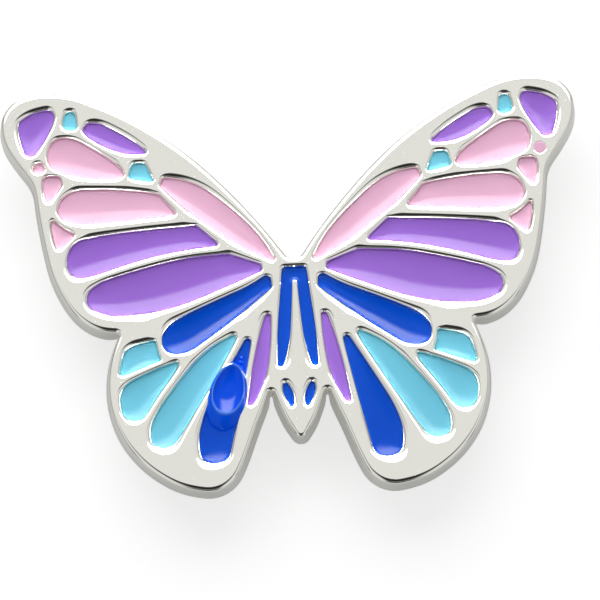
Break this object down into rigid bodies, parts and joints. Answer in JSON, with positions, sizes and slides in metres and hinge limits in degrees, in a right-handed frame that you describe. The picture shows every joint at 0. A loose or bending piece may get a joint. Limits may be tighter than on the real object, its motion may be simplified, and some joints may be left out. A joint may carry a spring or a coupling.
{
  "type": "brooch",
  "caption": "Butterfly-shaped metal brooch with recessed coloured enamel cells and a hinged safety pin on its back.",
  "frame": {"origin": "under the middle of the outline's box, at the height of the ground that the pin's ears stand on, lying face up", "axes": "+Z out of the enamelled face, +X to the viewer's right across both wings, +Y toward the forewing tips"},
  "size_m": [0.0406, 0.0292, 0.0062],
  "materials": {
    "polished_plating": "polished warm silver plating",
    "finding_metal": "tumbled nickel plating",
    "pin_steel": "bright drawn steel",
    "solder": "dull solder",
    "enamel_purple": "glossy soft enamel",
    "enamel_pink": "glossy soft enamel",
    "enamel_cyan": "glossy soft enamel",
    "enamel_blue": "glossy soft enamel",
    "enamel_bright_blue": "thick glossy enamel"
  },
  "bodies": {
    "body": {"butterfly_plate": "polished_plating", "enamel_body_almond_left": "enamel_blue", "enamel_body_almond_right": "enamel_blue", "enamel_body_wishbone": "enamel_blue", "enamel_forewing_dot_left": "enamel_pink", "enamel_forewing_dot_right": "enamel_pink", "enamel_forewing_large_drop_left": "enamel_pink", "enamel_forewing_large_drop_right": "enamel_pink", "enamel_forewing_long_band_left": "enamel_pink", "enamel_forewing_long_band_right": "enamel_pink", "enamel_forewing_long_costal_left": "enamel_pink", "enamel_forewing_long_costal_right": "enamel_pink", "enamel_forewing_lower_band_left": "enamel_purple", "enamel_forewing_lower_band_right": "enamel_purple", "enamel_forewing_margin_drop_left": "enamel_pink", "enamel_forewing_margin_drop_right": "enamel_pink", "enamel_forewing_margin_triangle_left": "enamel_pink", "enamel_forewing_margin_triangle_right": "enamel_pink", "enamel_forewing_small_costal_left": "enamel_cyan", "enamel_forewing_small_costal_right": "enamel_cyan", "enamel_forewing_small_tip_left": "enamel_cyan", "enamel_forewing_small_tip_right": "enamel_cyan", "enamel_forewing_tip_left": "enamel_purple", "enamel_forewing_tip_right": "enamel_purple", "enamel_forewing_upper_band_left": "enamel_purple", "enamel_forewing_upper_band_right": "enamel_purple", "enamel_forewing_upper_margin_left": "enamel_purple", "enamel_forewing_upper_margin_right": "enamel_purple", "enamel_hindwing_inner_left": "enamel_blue", "enamel_hindwing_inner_right": "enamel_blue", "enamel_hindwing_long_left": "enamel_cyan", "enamel_hindwing_long_right": "enamel_cyan", "enamel_hindwing_notched_left": "enamel_cyan", "enamel_hindwing_notched_right": "enamel_cyan", "enamel_hindwing_short_left": "enamel_cyan", "enamel_hindwing_short_right": "enamel_cyan", "enamel_hindwing_slender_left": "enamel_purple", "enamel_hindwing_slender_right": "enamel_purple", "enamel_hindwing_upper_left": "enamel_blue", "enamel_hindwing_upper_right": "enamel_blue", "enamel_raised_drop": "enamel_bright_blue", "hinge_rivet": "pin_steel", "pin_bar": "finding_metal", "solder_pad_catch_end": "solder", "solder_pad_hinge_end": "solder"},
    "stem": {"pin_stem": "pin_steel"},
    "roller": {"catch_roller": "finding_metal"}
  },
  "joints": [
    {"name": "stem_hinge", "type": "hinge", "parent": "body", "child": "stem", "pos_m": [0.0102, 0, 0.0013], "axis": [0, -1, 0], "range_deg": [0, 100]},
    {"name": "catch_turn", "type": "hinge", "parent": "body", "child": "roller", "pos_m": [-0.0102, 0, 0.0013], "axis": [-1, 0, 0], "range_deg": [0, 114]}
  ]
}
